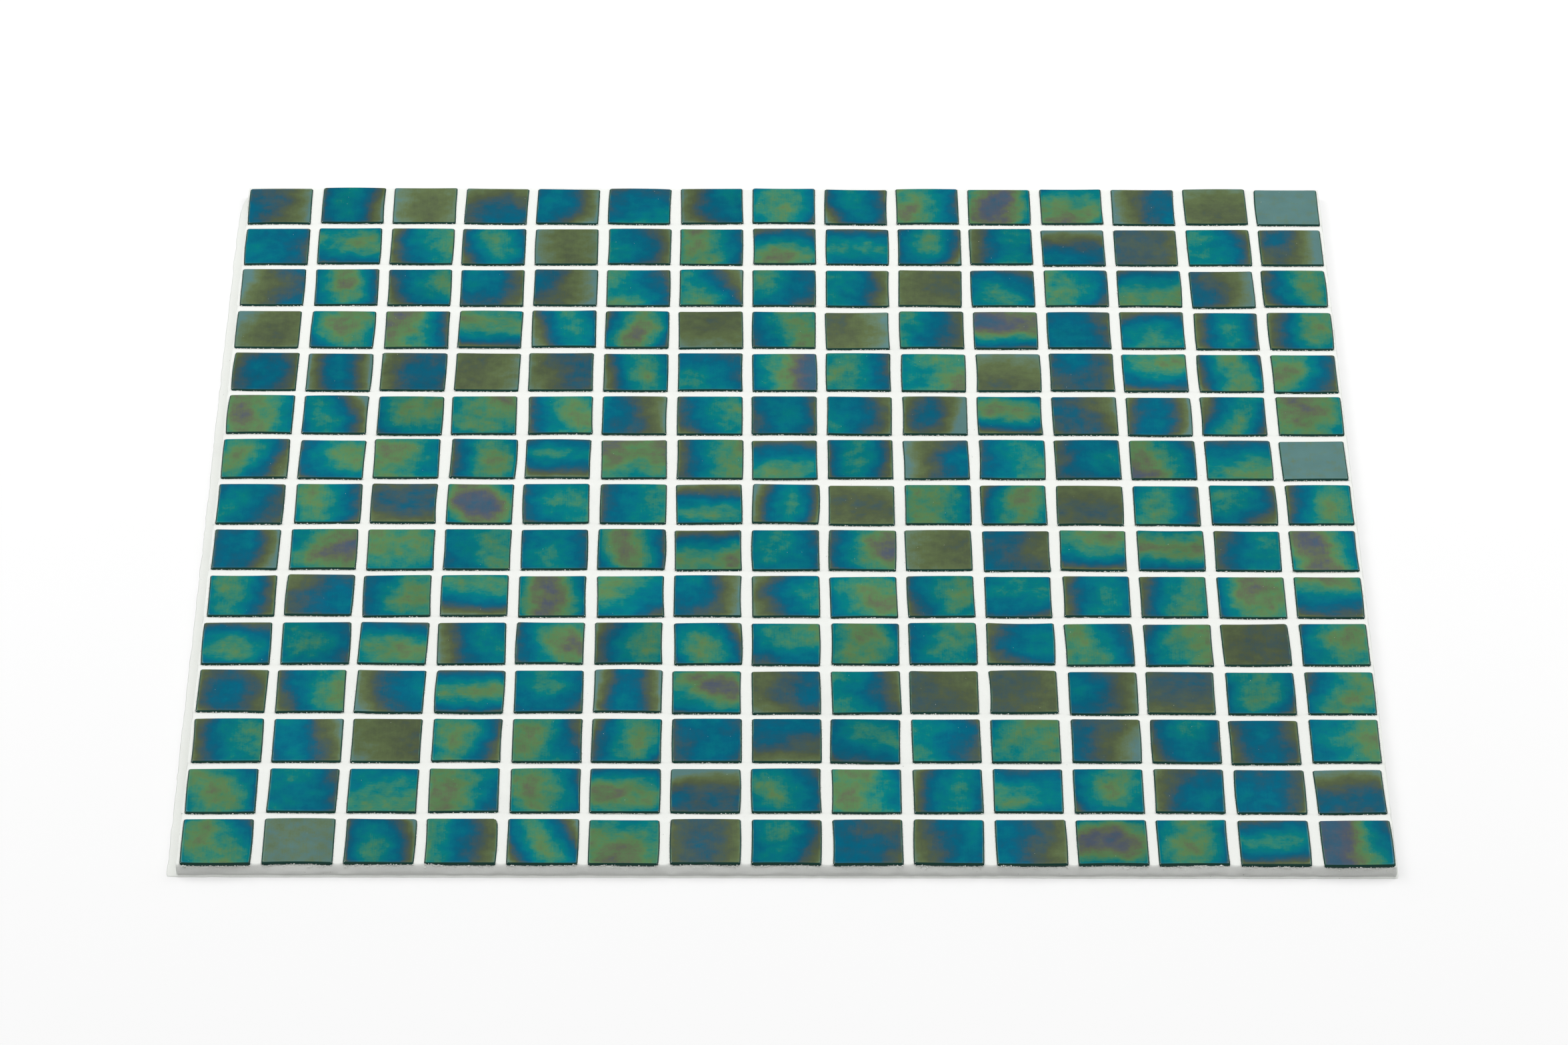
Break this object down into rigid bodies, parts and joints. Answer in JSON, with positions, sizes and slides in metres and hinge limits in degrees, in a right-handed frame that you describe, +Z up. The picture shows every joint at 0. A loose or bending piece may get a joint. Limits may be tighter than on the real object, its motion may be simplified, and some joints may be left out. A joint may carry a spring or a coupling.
{
  "type": "glass mosaic tile sheet",
  "caption": "Flat sheet of square iridescent glass mosaic tesserae set in white cement grout, for facing a wall or floor.",
  "frame": {"origin": "middle of the field of glass, on the flat underside of the grout", "axes": "+Z up through the glass faces, +X along the rows, +Y from the front row to the back row"},
  "size_m": [0.3293, 0.327, 0.004],
  "materials": {
    "tesserae": "opaque dark green pressed glass with a lustre film that shifts from olive through teal to mauve",
    "grout": "matt white cement grout, finger-wiped and slightly crumbly"
  },
  "bodies": {
    "root": {"tesserae_row_01": "tesserae", "tesserae_row_02": "tesserae", "tesserae_row_03": "tesserae", "tesserae_row_04": "tesserae", "tesserae_row_05": "tesserae", "tesserae_row_06": "tesserae", "tesserae_row_07": "tesserae", "tesserae_row_08": "tesserae", "tesserae_row_09": "tesserae", "tesserae_row_10": "tesserae", "tesserae_row_11": "tesserae", "tesserae_row_12": "tesserae", "tesserae_row_13": "tesserae", "tesserae_row_14": "tesserae", "tesserae_row_15": "tesserae", "grout": "grout"}
  },
  "joints": []
}
